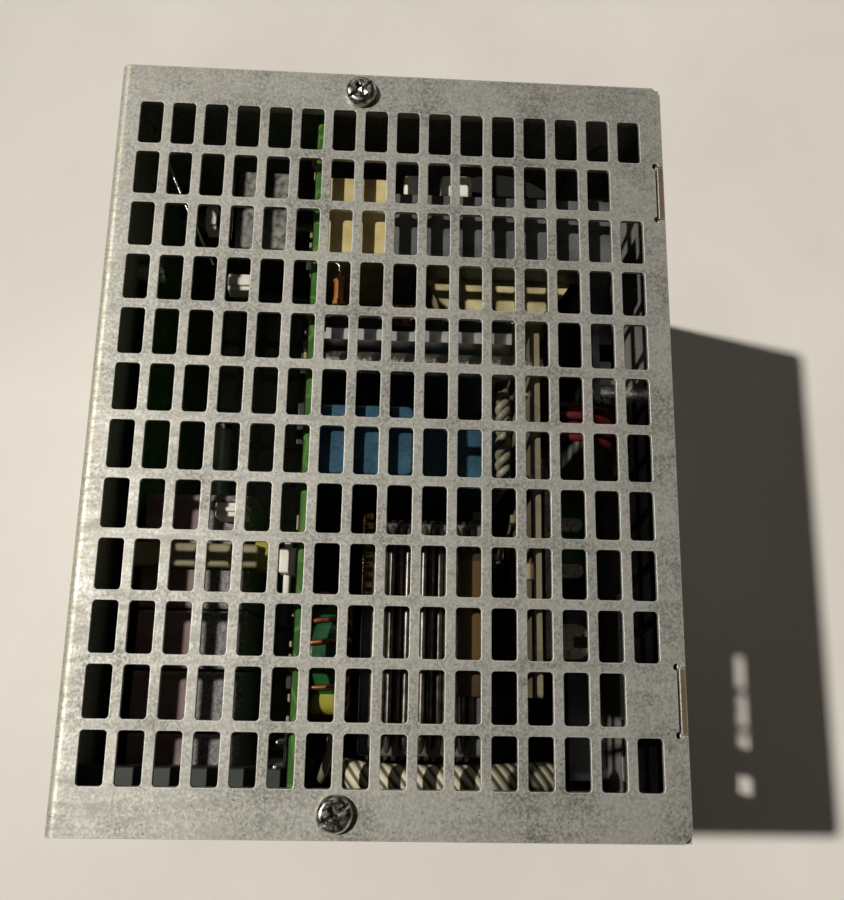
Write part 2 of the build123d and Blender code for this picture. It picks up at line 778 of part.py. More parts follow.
board_screw = pan_screw(m3_radius, 2.6, m3_head_radius, m3_head_height)
with BuildPart() as board_screws:
    for places, y, turn in (
        (main_posts, main_board_front, forward),
        (control_posts, control_board_front, forward),
        (filter_posts, filter_board_front, forward),
        (display_posts, display_front + board_thickness, rearward),
    ):
        for x, z in places:
            with Locations(Location((x, y, z), turn)):
                add(board_screw.part)
save(board_screws, "board_screws")

# ---- Display board's controls ----
with BuildPart() as trimmer_body:
    half = trimmer_side / 2
    span_box(
        (trimmer_x - half, trimmer_x + half), (trimmer_body_front, display_front),
        (control_z - half, control_z + half),
    )
    rod_y(trimmer_x, control_z, (trimmer_body_front - 1, display_front - 1.5), rotor_bore, Mode.SUBTRACT)
save(trimmer_body, "trimmer_body")

with BuildPart() as trimmer_rotor:
    rotor_front = front_face + 0.4
    rod_y(trimmer_x, control_z, (rotor_front, display_front - 1.6), rotor_radius)
    span_box(
        (trimmer_x - rotor_radius - 1, trimmer_x + rotor_radius + 1), (rotor_front - 1, rotor_front + 1.2),
        (control_z - 0.4, control_z + 0.4), Mode.SUBTRACT,
    )
save(trimmer_rotor, "trimmer_rotor")

slider_y = (front_face - 0.8, display_front - 2.2)
slider_rest_z = control_z - slider_travel / 2
with BuildPart() as mode_switch_body:
    span_box(
        (slider_xs[0] - 6.5, slider_xs[1] + 6.5), (switch_body_front, display_front),
        (control_z - 4.5, control_z + 4.5),
    )
    for x in slider_x_spans:
        span_box(x, (switch_body_front - 1, display_front - 2.0), slider_slot_z, Mode.SUBTRACT)
save(mode_switch_body, "mode_switch_body")

for number, x in enumerate(slider_xs, start=1):
    half = slider_side / 2
    with BuildPart() as slider:
        span_box((x - half, x + half), slider_y, (slider_rest_z - half, slider_rest_z + half))
        for z in (slider_rest_z - 0.7, slider_rest_z + 0.7):
            span_box((x - 2, x + 2), (slider_y[0] - 1, slider_y[0] + 0.3), (z - 0.2, z + 0.2), Mode.SUBTRACT)
    save(slider, f"mode_slider_{number}")

with BuildPart() as light_pipes:
    for z in light_zs:
        rod_y(light_x, z, (front_face - 0.6, display_front), light_radius)
    fillet(light_pipes.edges().group_by(Axis.Y)[0], 0.5)
save(light_pipes, "light_pipes")

# ---- Parts on the filter board, behind the main board ----
with BuildPart() as film_capacitors:
    for number in range(film_count):
        x = film_first_x - number * film_pitch
        span_box(
            (x - film_width / 2, x + film_width / 2), film_y, (film_top_z - film_height, film_top_z)
        )
    fillet(film_capacitors.edges().filter_by(Axis.Y), 0.8)
save(film_capacitors, "film_capacitors")

with BuildPart() as line_choke:
    span_box(choke_x, choke_y, choke_z)
    span_box(
        (choke_x[0] + choke_leg, choke_x[1] - choke_leg), (choke_y[0] - 1, choke_y[1] + 1),
        (choke_z[0] + choke_leg, choke_z[1] - choke_leg), Mode.SUBTRACT,
    )
    fillet(line_choke.edges().filter_by(Axis.Y), 1.5)
save(line_choke, "line_choke")

with BuildPart() as line_windings:
    winding_places = [
        (x, (choke_y[0] + choke_y[1]) / 2, (choke_z[0] + choke_z[1]) / 2)
        for x in (choke_x[0] + choke_leg / 2, choke_x[1] - choke_leg / 2)
    ]
    leg_depth = choke_y[1] - choke_y[0]
    winding_length = choke_z[1] - choke_z[0] - 2 * (choke_leg + choke_winding_gap)
    with Locations(*winding_places):
        Box(choke_leg + 2 * choke_build, leg_depth + 2 * choke_build, winding_length)
    fillet(line_windings.edges().filter_by(Axis.Z), 1.0)
    with Locations(*winding_places):
        Box(choke_leg + 0.1, leg_depth + 0.1, winding_length + 1, mode=Mode.SUBTRACT)
save(line_windings, "line_windings")

with BuildPart() as input_fuse:
    with Locations(Location((fuse_x, filter_board_front - fuse_standoff, fuse_z), (0, 90, 0))):
        Cylinder(fuse_radius, fuse_length)
    fillet(input_fuse.edges(), 0.4)
save(input_fuse, "input_fuse")

with BuildPart() as spacer_bar:
    span_box(spacer_x, (main_board_back, -body_sheet), spacer_z)
    fillet(spacer_bar.edges().filter_by(Axis.Y), 0.5)
save(spacer_bar, "spacer_bar")

# ---- Parts between the main board and the control board ----
with BuildPart() as blue_capacitors:
    for y_front, z_low in blue_places:
        span_box(blue_x, (y_front, y_front + blue_depth), (z_low, z_low + blue_height))
    fillet(blue_capacitors.edges().filter_by(Axis.Z), 1.6)
    fillet(blue_capacitors.faces().filter_by(Axis.Z).group_by(Axis.Z)[-1].edges(), 0.6)
save(blue_capacitors, "blue_capacitors")

with BuildPart() as aux_transformer:
    span_box(aux_x, (aux_front, main_board_front), aux_z)
    fillet(aux_transformer.edges().filter_by(Axis.Z), 1.2)
save(aux_transformer, "aux_transformer")

# E-shaped halves with a round middle leg, closed on each other through the winding.
with BuildPart() as core_half:
    half_length = core_length / 2
    span_box(
        (core_x - core_width / 2, core_x + core_width / 2), (core_y - half_length, core_y + half_length),
        (core_top_z - core_half_height, core_top_z),
    )
    span_box(
        (core_x - core_width, core_x + core_width),
        (core_y - half_length + core_leg, core_y + half_length - core_leg),
        (core_top_z - core_half_height - 1, core_top_z - core_yoke), Mode.SUBTRACT,
    )
    with Locations((core_x, core_y, core_top_z - core_half_height / 2)):
        Cylinder(core_leg_radius, core_half_height)

core_middle_z = core_top_z - core_half_height - 0.05
with BuildPart() as transformer_core:
    add(core_half.part)
    mirror(core_half.part, about=Plane.XY.offset(core_middle_z))
save(transformer_core, "transformer_core")

with BuildPart() as transformer_winding:
    winding_height = 2 * (core_half_height - core_yoke - winding_slack)
    flange_z = (winding_height - flange_thickness) / 2
    with Locations((core_x, core_y, core_middle_z)):
        Cylinder(winding_radius, winding_height)
        for z in (-flange_z, flange_z):
            with Locations((0, 0, z)):
                Cylinder(winding_radius + winding_flange, flange_thickness)
        Cylinder(core_leg_radius + winding_slack, winding_height + 2, mode=Mode.SUBTRACT)
save(transformer_winding, "transformer_winding")

with BuildPart() as power_choke:
    span_box(power_choke_x, power_choke_y, power_choke_z)
    fillet(power_choke.edges().filter_by(Axis.Y), 2.0)
save(power_choke, "power_choke")

with BuildPart() as ring_core:
    with Locations(Location(ring_place, forward)):
        Cylinder(ring_outer_radius, ring_thickness)
        Cylinder(ring_inner_radius, ring_thickness + 1, mode=Mode.SUBTRACT)
    fillet(ring_core.edges(), 1.5)
save(ring_core, "ring_core")

with BuildPart() as shield_plate:
    shield_top = shield_wall_z[1]
    span_box(shield_x, (shield_front, main_board_front), shield_wall_z)
    span_box(
        (shield_x[0], shield_top_x), (shield_front, shield_top_rear), (shield_top - shield_sheet, shield_top)
    )
    span_box(
        (shield_x[0], shield_foot_x), (main_board_front - shield_sheet, main_board_front), shield_foot_z
    )
    span_box(
        shield_notch_x, shield_notch_y, (shield_top - shield_sheet - 1, shield_top + 1), Mode.SUBTRACT
    )
save(shield_plate, "shield_plate")

with BuildPart() as bulk_capacitors:
    groove_y = (main_board_front + can_groove[0], main_board_front + can_groove[1])
    for x in can_xs:
        rod_y(x, can_z, (can_front, main_board_front), can_radius)
        rod_y(x, can_z, groove_y, can_radius + 1, Mode.SUBTRACT)
        rod_y(x, can_z, groove_y, can_radius - can_groove_depth)
    fillet(bulk_capacitors.edges().group_by(Axis.Y)[0], 1.0)
save(bulk_capacitors, "bulk_capacitors")

with BuildPart() as heat_sink:
    span_box(sink_x, sink_y, sink_base_z)
    for fin in range(fin_count):
        x = fin_first_x + fin * fin_pitch
        span_box((x - fin_thickness / 2, x + fin_thickness / 2), sink_y, (sink_bottom_z, sink_base_z[0] + 1))
save(heat_sink, "heat_sink")

with BuildPart() as power_transistors:
    with Locations((*transistor_place, sink_base_z[1] + transistor_size[2] / 2)):
        with GridLocations(*transistor_pitch, 2, 2):
            Box(*transistor_size)
    chamfer(power_transistors.faces().filter_by(Axis.Z).group_by(Axis.Z)[-1].edges(), 0.5)
save(power_transistors, "power_transistors")

# A stamped bar with bent fingers and an open-ended ear collects the output current.
with BuildPart() as output_busbar:
    finger_z = (busbar_z[1] - finger_sheet, busbar_z[1])
    span_box(busbar_x, busbar_y, busbar_z)
    for x in finger_spans:
        span_box(x, (finger_front, busbar_y[0]), finger_z)
    fillet(output_busbar.edges().filter_by(Axis.Z).group_by(Axis.Y)[0], finger_corner)
    span_box(ear_x, (ear_front, busbar_y[0]), finger_z)
    fillet(output_busbar.edges().filter_by(Axis.Z).group_by(Axis.Y)[0], ear_corner)
    span_box(
        ear_slot_x, (ear_front - 1, ear_slot_rear), (finger_z[0] - 1, finger_z[1] + 1), Mode.SUBTRACT
    )
    for x in foot_spans:
        span_box(x, (busbar_y[1], control_board_front), foot_z)
save(output_busbar, "output_busbar")
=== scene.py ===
# %% [markdown]
# # A power supply for a DIN rail
# The object is a sheet-metal case about as large as a loaf of bread. Its top is a
# punched grille, and through the grille the boards, capacitors and coils show.
# The measured model of it is loaded first, as a frame that never moves. Everything
# below gives that frame its finishes, adds the small parts that show through the
# grille, and then sets up the floor, the lights and the camera.

# %% Load the measured frame
import math
import random

import bmesh
import bpy
from mathutils import Matrix, Vector


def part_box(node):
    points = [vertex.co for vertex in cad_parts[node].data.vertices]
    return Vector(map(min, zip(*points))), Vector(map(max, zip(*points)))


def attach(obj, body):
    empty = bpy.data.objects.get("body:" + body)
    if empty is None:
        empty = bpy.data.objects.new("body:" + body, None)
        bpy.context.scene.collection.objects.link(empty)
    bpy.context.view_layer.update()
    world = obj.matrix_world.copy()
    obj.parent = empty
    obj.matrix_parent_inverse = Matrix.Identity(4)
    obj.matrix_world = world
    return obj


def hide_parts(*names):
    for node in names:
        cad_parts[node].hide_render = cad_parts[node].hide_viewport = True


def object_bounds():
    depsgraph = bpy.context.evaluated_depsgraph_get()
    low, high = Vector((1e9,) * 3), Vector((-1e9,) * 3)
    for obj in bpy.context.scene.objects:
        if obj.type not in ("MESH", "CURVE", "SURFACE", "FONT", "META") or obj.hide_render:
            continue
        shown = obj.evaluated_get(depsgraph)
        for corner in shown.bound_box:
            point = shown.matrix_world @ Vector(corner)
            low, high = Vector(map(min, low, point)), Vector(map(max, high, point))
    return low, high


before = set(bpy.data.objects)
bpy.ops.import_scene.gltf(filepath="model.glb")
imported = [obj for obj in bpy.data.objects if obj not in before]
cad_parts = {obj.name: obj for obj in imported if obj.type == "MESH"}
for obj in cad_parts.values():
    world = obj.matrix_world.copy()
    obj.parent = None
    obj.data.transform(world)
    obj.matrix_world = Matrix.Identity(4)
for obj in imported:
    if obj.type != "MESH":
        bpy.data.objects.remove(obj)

cad_low, cad_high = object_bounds()
print("nodes in the frame:", len(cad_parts))
print("size in mm:", [round(1000 * s, 1) for s in cad_high - cad_low])

# %% [markdown]
# ## Colours and nodes
# Colours are written as sRGB hex values, the way a colour picker gives them.
# Blender's shaders work with linear light, so one function does the conversion.
# The picture is shown without a film curve, so a hex value comes out as written.

# %% One function for colour, one for nodes
bpy.context.scene.view_settings.view_transform = "Standard"


def colour(hex_value):
    """An sRGB hex colour as linear red, green, blue and alpha."""
    parts = [int(hex_value[i:i + 2], 16) / 255 for i in (1, 3, 5)]
    linear = [p / 12.92 if p <= 0.04045 else ((p + 0.055) / 1.055) ** 2.4 for p in parts]
    return (*linear, 1.0)


def add(tree, kind, inputs=None, **settings):
    """Adds a node. An input is a value, or the output of another node."""
    made = tree.nodes.new("ShaderNode" + kind)
    for name, value in settings.items():
        setattr(made, name, value)
    for name, value in (inputs or {}).items():
        if isinstance(value, bpy.types.NodeSocket):
            tree.links.new(value, made.inputs[name])
        else:
            made.inputs[name].default_value = value
    return made


print("middle grey in linear light:", round(colour("#808080")[0], 3))

# %% [markdown]
# ## How a finish is put together
# Every finish starts the same way: a Principled shader, and the place on the part
# in metres. A pattern's scale is worked out from a real size in millimetres, so a
# grain of 0.5 mm is 0.5 mm on every part. Two patterns come back again and
# again: a mottle of two colours, and a fine grain that stands up from the surface.

# %% Start a finish, mottle it, roughen it
MM = 0.001
finishes = {}


def start_finish(name, roughness=0.5, metallic=0.0):
    """A new material: its node tree, its shader, and the place on the part."""
    material = bpy.data.materials.new(name)
    material.use_nodes = True
    tree = material.node_tree
    shader = tree.nodes["Principled BSDF"]
    shader.inputs["Roughness"].default_value = roughness
    shader.inputs["Metallic"].default_value = metallic
    place = add(tree, "TexCoord").outputs["Object"]
    finishes[name] = material
    return tree, shader, place


def cloud(tree, place, size, detail=4.0, stretch=(1, 1, 1)):
    """A soft random pattern whose lumps are about size millimetres across."""
    spread = add(tree, "Mapping", {"Vector": place, "Scale": stretch}).outputs["Vector"]
    settings = {"Vector": spread, "Scale": 1 / (size * MM), "Detail": detail}
    return add(tree, "TexNoise", settings).outputs["Fac"]


def between(tree, amount, low, high, start=0.3, end=0.7):
    """Blends two colours, or two numbers, where amount goes from start to end."""
    share = add(tree, "MapRange", {"Value": amount, "From Min": start, "From Max": end})
    if isinstance(low, float):
        share.inputs["To Min"].default_value = low
        share.inputs["To Max"].default_value = high
        return share.outputs["Result"]
    mix = add(tree, "Mix", data_type="RGBA")
    tree.links.new(share.outputs["Result"], mix.inputs["Factor"])
    for socket, value in ((mix.inputs[6], low), (mix.inputs[7], high)):
        if isinstance(value, str):
            socket.default_value = colour(value)
        else:
            tree.links.new(value, socket)
    return mix.outputs[2]


def relief(tree, shader, height, depth, strength=1.0, edge=0.0):
    """Lets a pattern stand up by depth millimetres, and rounds edges by edge millimetres."""
    inputs = {"Height": height, "Distance": depth * MM, "Strength": strength}
    if edge:
        inputs["Normal"] = add(tree, "Bevel", {"Radius": edge * MM}).outputs["Normal"]
    bump = add(tree, "Bump", inputs)
    tree.links.new(bump.outputs["Normal"], shader.inputs["Normal"])


def edge_highlight_mask(tree, width):
    """Where the painted highlight goes: how far the shading is rounded at an edge, width millimetres
    wide.
    """
    rounded = add(tree, "Bevel", {"Radius": width * MM}).outputs["Normal"]
    flat = add(tree, "NewGeometry").outputs["True Normal"]
    same = add(tree, "VectorMath", {0: rounded, 1: flat}, operation="DOT_PRODUCT").outputs["Value"]
    return add(tree, "Math", {0: 1.0, 1: same}, operation="SUBTRACT").outputs[0]


def paint(tree, shader, value, socket="Base Color"):
    tree.links.new(value, shader.inputs[socket])


print("a grain of 0.5 mm repeats", 1 / (0.5 * MM), "times in a metre")

# %% [markdown]
# ## Galvanised sheet steel
# The case is punched and folded from steel sheet that was dipped in molten zinc
# and rolled. The zinc has gone dull with age: it is a mid grey, mottled at about a
# millimetre, with fine rolling lines, darker stains, and lighter rub marks where
# the rear bend has been handled. The punch has rolled the sheet over at the edges
# of the holes, and there a painted highlight lightens the rims, whatever the lamp.
# It still glints a little, so it is mostly metal, with the rough white-grey of
# zinc oxide over it.
# The edges of the front panel's tabs are cut, not coated, and have gone brownish.

# %% Zinc-coated sheet
def zinc_sheet(name, rolled_along, worn_bend=False, raw_tabs=False):
    """Dull zinc. rolled_along squeezes the grain across the rolling direction."""
    tree, shader, place = start_finish(name, metallic=0.62)
    across = add(tree, "SeparateXYZ", {"Vector": place}).outputs
    grain = cloud(tree, place, 0.55, 3.0)
    rolled = cloud(tree, place, 2.2, 4.0, rolled_along)
    stain = cloud(tree, place, 16.0, 7.0)
    tone = between(tree, grain, "#9e9d93", "#d2d0c6", 0.32, 0.68)
    tone = between(tree, rolled, tone, "#a9a79c", 0.36, 0.80)
    darker = between(tree, grain, "#7d7c73", "#bcbab0", 0.34, 0.66)
    tone = between(tree, stain, darker, tone, 0.34, 0.56)
    speck = add(tree, "TexVoronoi", {"Vector": place, "Scale": 1 / (2.1 * MM)})
    tone = between(tree, speck.outputs["Distance"], "#5d5b53", tone, 0.04, 0.10)
    if worn_bend:
        rub = cloud(tree, place, 1.1, 4.0, (2.2, 0.5, 1.0))
        near = between(tree, across["Y"], 0.0, 1.0, -8 * MM, 0.5 * MM)
        high = between(tree, across["Z"], 0.0, 1.0, 59.8 * MM, 61.5 * MM)
        bend = add(tree, "Math", {0: near, 1: high}, operation="MULTIPLY").outputs[0]
        rubbed = add(tree, "Math", {0: rub, 1: bend}, operation="MULTIPLY").outputs[0]
        tone = between(tree, rubbed, tone, "#cfc9ae", 0.38, 0.66)
    if raw_tabs:
        tone = between(tree, across["Z"], tone, "#84705a", 61.9 * MM, 62.3 * MM)
    # painted highlight: the rims of the holes are lightened wherever the shading is rounded
    edge = edge_highlight_mask(tree, 0.45)
    tone = between(tree, edge, tone, "#e9e7de", 0.02, 0.16)
    paint(tree, shader, tone)
    paint(tree, shader, between(tree, rolled, 0.42, 0.62), "Roughness")
    relief(tree, shader, grain, 0.03, 0.6, edge=0.25)
    return finishes[name]


case_sheet = zinc_sheet("galvanised sheet, rolled across", (0.35, 1.6, 1.0))
cover_sheet = zinc_sheet("galvanised sheet, worn bend", (1.6, 0.35, 1.0), worn_bend=True)
panel_sheet = zinc_sheet("galvanised sheet, raw cut tabs", (0.35, 1.0, 1.0), raw_tabs=True)
print("sheet finishes:", case_sheet.name, "|", cover_sheet.name, "|", panel_sheet.name)

# %% [markdown]
# ## The other metals
# Screws are zinc-plated and tumbled bright. The heat sink is extruded aluminium,
# with lines along the press direction. The clip and the busbar are softer, more
# polished sheet. Copper wire keeps its colour under a clear or brown enamel, and
# the enamel is what gives it the wet look, so the coat does that job.

# %% Metals
def bare_metal(name, dark, light, roughness, grain=0.8, stretch=(1, 1, 1), depth=0.01):
    """Metal with lines or clouds in its polish, and slightly rounded edges."""
    tree, shader, place = start_finish(name, roughness, 1.0)
    lines = cloud(tree, place, grain, 4.0, stretch)
    paint(tree, shader, between(tree, lines, dark, light))
    low, high = max(0.08, roughness - 0.12), roughness + 0.12
    paint(tree, shader, between(tree, lines, low, high), "Roughness")
    relief(tree, shader, lines, depth, 0.5, edge=0.15)
    return finishes[name]


bright_screw = bare_metal("zinc-plated steel, bright", "#8f8d84", "#dcdad0", 0.26, 1.0)
clamp_zinc = bare_metal("zinc-plated steel, satin", "#8b8a82", "#bfbdb3", 0.40, 0.7)
spring_wire = bare_metal("spring steel, drawn", "#6f6f6e", "#a5a5a2", 0.30, 0.5)
heat_sink_metal = bare_metal(
    "aluminium, extruded", "#8e9193", "#c9cbcb", 0.42, 0.6, (3.0, 0.15, 3.0)
)
shield_metal = bare_metal("tinned steel sheet, bright", "#d5d4cc", "#fbfaf4", 0.38, 0.9)
# the rear bracket's aluminium: a dull grey, partly darkened as painted shade
plate_with_painted_shade = bare_metal("aluminium sheet, darkened as painted shade", "#66665f", "#98978e", 0.48, 1.6)
busbar_metal = bare_metal("tinned copper, stamped", "#8d8a7e", "#c6c3b4", 0.36, 0.8)
tinned_wire = bare_metal("tinned copper wire", "#a5a49b", "#dcdad0", 0.25, 0.6)
gold_strip = bare_metal("brass, stamped", "#8a6a30", "#cfae62", 0.30, 0.7)
copper_strap = bare_metal("copper sheet, tarnished", "#5a3826", "#a4694a", 0.38, 1.2)


def enamelled_wire(name, dark, light):
    """Copper under clear enamel, which is a thin glossy coat."""
    tree, shader, place = start_finish(name, 0.40, 0.75)
    paint(tree, shader, between(tree, cloud(tree, place, 1.8, 3.0), dark, light))
    shader.inputs["Coat Weight"].default_value = 0.4
    shader.inputs["Coat Roughness"].default_value = 0.25
    return finishes[name]


winding_wire = enamelled_wire("enamelled copper wire", "#6d3d1f", "#a9683a")
varnished_wire = enamelled_wire("copper wire, brown varnish", "#35302a", "#6d665a")
print("metals so far:", len(finishes))

# %% [markdown]
# ## Plastics, tapes and ceramics
# Moulded parts have a fine spark-eroded texture of about 0.2 mm, which is drawn a
# little coarser here so that it shows. Tape is wound in layers, each a thin step over
# the last. Ferrite is a pressed and fired powder: dark grey, matt, and pitted.

# %% Moulded and coated parts
def moulded(name, dark, light, roughness=0.5, grain=0.4, depth=0.02, coat=0.0):
    """A plastic, resin or ceramic surface with a slight mottle and grain."""
    tree, shader, place = start_finish(name, roughness)
    paint(tree, shader, between(tree, cloud(tree, place, 6.0), dark, light))
    fine = cloud(tree, place, grain, 2.0)
    low, high = max(0.05, roughness - 0.08), roughness + 0.10
    paint(tree, shader, between(tree, fine, low, high), "Roughness")
    relief(tree, shader, fine, depth, 0.4, edge=0.35)
    shader.inputs["Coat Weight"].default_value = coat
    return finishes[name]


grey_polyamide = moulded("polyamide, moulded grey", "#33363a", "#42464a", 0.48)
black_polyamide = moulded("polyamide, moulded black", "#141414", "#202021", 0.42)
green_polyamide = moulded("polyamide, moulded green", "#1c6a3c", "#2b7d4b", 0.42)
bar_polyamide = moulded("polyamide, grey-green", "#22271f", "#31382d", 0.5)
white_nylon = moulded("nylon, moulded white", "#d9d4c4", "#eee9da", 0.45)
cream_nylon = moulded("nylon, aged cream", "#6d6748", "#938b66", 0.45)
blue_case = moulded("polypropylene capacitor box, blue", "#223f4e", "#375d70", 0.30, 0.9, 0.015)
tan_case = moulded("transformer bobbin, tan", "#b09c62", "#d9c88f", 0.45)
ferrite = moulded("ferrite, fired and ground", "#3a3a3a", "#666663", 0.50, 0.5, 0.03)
green_coating = moulded("epoxy powder coat, green", "#164022", "#255e33", 0.30, 1.2, 0.05)
black_film = moulded("polyester film, black", "#0c0c0d", "#171718", 0.22, 2.0)
red_insulation = moulded("PVC insulation, red", "#430d10", "#681a1c", 0.48)
cream_insulation = moulded("PVC insulation, cream", "#625d4c", "#8b8570", 0.45)
amber_resin = moulded("resistor, amber lacquer", "#8b4f1c", "#c98844", 0.25, coat=0.5)
chip_resin = moulded("chip package, black resin", "#17181a", "#26272a", 0.45)
pale_ceramic = moulded("chip capacitor, tan ceramic", "#7e6a4c", "#a08a66", 0.42)
olive_part = moulded("disc capacitor, yellow lacquer", "#7c7626", "#b2a949", 0.30)

# %% Two-tone parts
tree, shader, place = start_finish("capacitor box, brown with grey resin", 0.45)
# a brown moulded box, filled with grey resin whose filler shows as specks
along = add(tree, "SeparateXYZ", {"Vector": place}).outputs["Y"]
box_brown = between(tree, cloud(tree, place, 5.0), "#654f4a", "#836a61")
resin_grey = between(tree, cloud(tree, place, 0.7, 5.0), "#565352", "#8a8682", 0.36, 0.64)
resin_line = -19.0
paint(tree, shader, between(
    tree, along, resin_grey, box_brown, (resin_line - 0.1) * MM, (resin_line + 0.1) * MM
))
relief(tree, shader, cloud(tree, place, 0.5, 3.0), 0.04, 0.5)
film_box = finishes["capacitor box, brown with grey resin"]

tree, shader, place = start_finish("capacitor can in a shrunk sleeve", 0.28)
# a dark PVC sleeve, and the bare aluminium end of the can inside its edge
along = add(tree, "SeparateXYZ", {"Vector": place}).outputs["Y"]
can_end = between(tree, along, 1.0, 0.0, -86.45 * MM, -86.35 * MM)
sleeve = between(tree, cloud(tree, place, 9.0), "#151b28", "#222a3a")
paint(tree, shader, between(tree, can_end, sleeve, "#bfc0be", 0.0, 1.0))
paint(tree, shader, can_end, "Metallic")
capacitor_can = finishes["capacitor can in a shrunk sleeve"]

tree, shader, place = start_finish("shield, tinned steel with painted shade", 0.36)
# a tinned flange; beyond X 22 mm it is coloured black as painted shade, where the grille's shade
# falls
along = add(tree, "SeparateXYZ", {"Vector": place}).outputs["X"]
# 1 on the tinned part, 0 on the painted shade beyond 22 mm
bare = between(tree, along, 1.0, 0.0, 22.0 * MM, 22.1 * MM)
paint(tree, shader, between(tree, bare, "#1d1d1e", "#f3f2ec", 0.0, 1.0))
paint(tree, shader, bare, "Metallic")
shield_tin_and_painted_shade = finishes["shield, tinned steel with painted shade"]

tree, shader, place = start_finish("transformer winding, taped", 0.40)
# cream tape over the turns, and a black end where the leads come out
along = add(tree, "SeparateXYZ", {"Vector": place}).outputs["X"]
taped = between(tree, cloud(tree, place, 5.0), "#8f8660", "#c9be8c")
paint(tree, shader, between(tree, along, taped, "#1c1b19", 46.0 * MM, 46.3 * MM))
winding_finish = finishes["transformer winding, taped"]

tree, shader, place = start_finish("fuse, ceramic with metal caps", 0.25)
# a glazed ceramic tube between two nickel-plated caps
along = add(tree, "SeparateXYZ", {"Vector": place}).outputs["X"]
fuse_low, fuse_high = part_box("input_fuse")
fuse_middle = (fuse_low.x + fuse_high.x) / 2
fuse_reach = (fuse_high.x - fuse_low.x) / 2
from_middle = add(tree, "Math", {0: along, 1: fuse_middle}, operation="SUBTRACT").outputs[0]
from_middle = add(tree, "Math", {0: from_middle}, operation="ABSOLUTE").outputs[0]
cap = between(tree, from_middle, 0.0, 1.0, fuse_reach - 5.1 * MM, fuse_reach - 5.0 * MM)
paint(tree, shader, between(tree, cap, "#d9d5c6", "#b3b2ac", 0.0, 1.0))
paint(tree, shader, cap, "Metallic")
fuse_finish = finishes["fuse, ceramic with metal caps"]
print("finishes so far:", len(finishes))

# %% [markdown]
# ## Circuit boards
# A board is woven glass in epoxy, 1.6 mm thick, with copper tracks under a green
# lacquer. The tracks show as slightly lighter lines. The lacquer is glossy, and
# the weave of the glass, about 0.5 mm, gives the gloss a faint ripple.

# %% Boards, tape and sleeving
def circuit_board(name, dark, light, track):
    tree, shader, place = start_finish(name, 0.30)
    base = between(tree, cloud(tree, place, 12.0), dark, light)
    settings = {"Vector": place, "Scale": 1 / (7 * MM), "Randomness": 0.75}
    cells = add(tree, "TexVoronoi", settings, feature="DISTANCE_TO_EDGE")
    paint(tree, shader, between(tree, cells.outputs["Distance"], track, base, 0.035, 0.06))
    relief(tree, shader, cloud(tree, place, 0.5, 1.0), 0.01, 0.5)
    return finishes[name]


green_board = circuit_board("circuit board, green lacquer", "#2d5420", "#456f2c", "#547d36")
black_board = circuit_board("circuit board, black lacquer", "#121513", "#1a1f1b", "#202722")
tan_board = circuit_board("circuit board, bare glass epoxy", "#6a6350", "#8b8369", "#7a735c")


def wave_scale(period):
    """The scale that makes a wave texture repeat every period millimetres."""
    return math.tau / 20 / (period * MM)


def wound_tape(name, dark, light, lap, direction):
    """Polyester tape in bands that are lap millimetres wide."""
    tree, shader, place = start_finish(name, 0.34)
    inputs = {"Vector": place, "Scale": wave_scale(lap), "Distortion": 0.6}
    settings = {"bands_direction": direction, "wave_profile": "SAW"}
    bands = add(tree, "TexWave", inputs, **settings).outputs["Fac"]
    paint(tree, shader, between(tree, bands, dark, light, 0.0, 0.35))
    relief(tree, shader, bands, 0.05, 0.6)
    return finishes[name]


brown_tape = wound_tape("polyester tape, brown", "#2e2213", "#54401f", 27.6, "X")

tree, shader, place = start_finish("braided sleeve, woven glass fibre", 0.6)
# a twill: cream yarns 1.8 mm apart that lie at a slant, with thin dark gaps between
turned = add(tree, "Mapping", {"Vector": place, "Rotation": (0, 0, 0.9)}).outputs["Vector"]
waves = {"Vector": turned, "Scale": wave_scale(1.776), "Distortion": 0.8}
yarn = add(tree, "TexWave", waves).outputs["Fac"]
paint(tree, shader, between(tree, yarn, "#5b5541", "#cdc6a8", 0.15, 0.55))
relief(tree, shader, yarn, 0.2, 0.9)
braid = finishes["braided sleeve, woven glass fibre"]

tree, shader, place = start_finish("light pipe, clear acrylic", 0.08)
# clear acrylic, slightly green where it is thick
shader.inputs["Base Color"].default_value = colour("#dfe9df")
shader.inputs["Transmission Weight"].default_value = 0.85
shader.inputs["IOR"].default_value = 1.49
clear_acrylic = finishes["light pipe, clear acrylic"]

tree, shader, place = start_finish("front foil, printed polyester", 0.42)
# light grey ink on the back of a clear matt film, with the film's fine tooth
paint(tree, shader, between(tree, cloud(tree, place, 30.0), "#b9bcbb", "#c5c8c6"))
relief(tree, shader, cloud(tree, place, 0.35, 2.0), 0.01, 0.6)
foil = finishes["front foil, printed polyester"]
print("all finishes:", len(finishes))

# %% [markdown]
# ## Which part gets which finish
# The frame's parts keep their shapes. Each one gets the finish of the real part. A
# punched or moulded edge is never knife-sharp, and its small radius is what catches
# the light, so the finishes above round the shading at edges by 0.15 to 0.35 mm.

